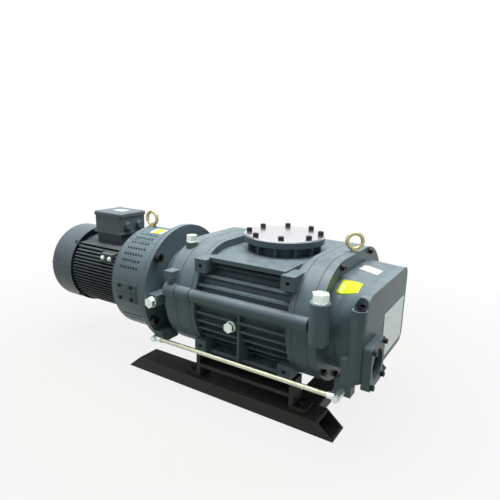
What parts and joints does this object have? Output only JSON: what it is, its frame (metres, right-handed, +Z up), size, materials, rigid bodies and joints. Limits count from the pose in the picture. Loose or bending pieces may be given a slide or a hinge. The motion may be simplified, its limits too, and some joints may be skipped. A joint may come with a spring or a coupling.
{
  "type": "roots vacuum pump",
  "caption": "Horizontal roots vacuum pump: finned casing with vertical flow, flange motor on a perforated lantern, gear cover, balance pipe and skid rails.",
  "frame": {"origin": "on the floor, under the axis of the inlet and outlet flanges, which is also the middle of the four anchor holes", "axes": "+X along the shafts from the motor to the gear cover, +Z up, the drive rotor on the -Y side, which is the front"},
  "size_m": [1.118, 0.496, 0.461],
  "materials": {
    "slate_paint": "satin blue-grey paint",
    "rail_paint": "dark satin paint on box section",
    "cast_machined": "machined cast iron",
    "forged_steel": "ground steel",
    "bright_steel": "bright turned steel",
    "black_steel": "black oxide",
    "zinc_plug": "clear zinc",
    "yellow_zinc": "yellow zinc",
    "seal_rubber": "matt",
    "copper_winding": "varnished copper",
    "electrical_steel": "laminated",
    "fan_plastic": "moulded",
    "terminal_plastic": "moulded",
    "oil_glass": "clear glass"
  },
  "bodies": {
    "pump_frame": {"skid_rail_front": "rail_paint", "skid_rail_rear": "rail_paint", "skid_cross_members": "rail_paint", "foot_bracket_front": "rail_paint", "foot_bracket_rear": "rail_paint", "foot_bolts": "black_steel", "foot_screws": "black_steel", "pump_casing": "slate_paint", "inlet_blank_plate": "bright_steel", "inlet_cover_screws": "black_steel", "inlet_seal": "seal_rubber", "drive_end_plate": "slate_paint", "gear_end_plate": "slate_paint", "shaft_seals": "seal_rubber", "pump_bearing_outer_rings": "forged_steel", "drive_side_cover": "slate_paint", "coupling_lantern": "slate_paint", "lantern_screws": "black_steel", "lifting_eyebolt_drive": "yellow_zinc", "lifting_eyebolt_gear": "yellow_zinc", "motor_drive_shield": "slate_paint", "motor_flange_screws": "black_steel", "motor_frame": "slate_paint", "motor_tail_shield": "slate_paint", "stator_core": "electrical_steel", "stator_windings": "copper_winding", "motor_bearing_outer_rings": "forged_steel", "fan_cowl": "slate_paint", "cowl_screws": "black_steel", "terminal_box": "slate_paint", "terminal_box_lid": "slate_paint", "lid_screws": "black_steel", "terminal_block": "terminal_plastic", "cable_entry_plugs": "black_steel", "gear_cover": "slate_paint", "gear_cover_screws": "black_steel", "sight_glass_frame": "slate_paint", "sight_glass": "oil_glass", "sight_glass_screws": "black_steel", "oil_filler_plugs": "zinc_plug", "casing_and_drain_plugs": "zinc_plug", "post_plug": "black_steel", "pipe_fittings": "zinc_plug", "balance_pipe": "bright_steel"},
    "drive_train": {"drive_rotor": "cast_machined", "drive_bearing_inner_rings": "forged_steel", "timing_gear_drive": "forged_steel", "gear_nut_drive": "black_steel", "coupling_hub_pump": "cast_machined", "coupling_spider": "seal_rubber", "coupling_hub_motor": "cast_machined", "motor_rotor": "electrical_steel", "motor_bearing_inner_rings": "forged_steel", "cooling_fan": "fan_plastic"},
    "driven_train": {"driven_rotor": "cast_machined", "driven_bearing_inner_rings": "forged_steel", "timing_gear_driven": "forged_steel", "gear_nut_driven": "black_steel"}
  },
  "joints": [
    {"name": "drive_spin", "type": "hinge", "parent": "pump_frame", "child": "drive_train", "pos_m": [0, -0.08, 0.25], "axis": [1, 0, 0], "continuous": true},
    {"name": "driven_spin", "type": "hinge", "parent": "pump_frame", "child": "driven_train", "pos_m": [0, 0.08, 0.25], "axis": [1, 0, 0], "continuous": true}
  ],
  "couplings": [
    {"joint": "driven_spin", "follows": "drive_spin", "ratio": -1}
  ]
}
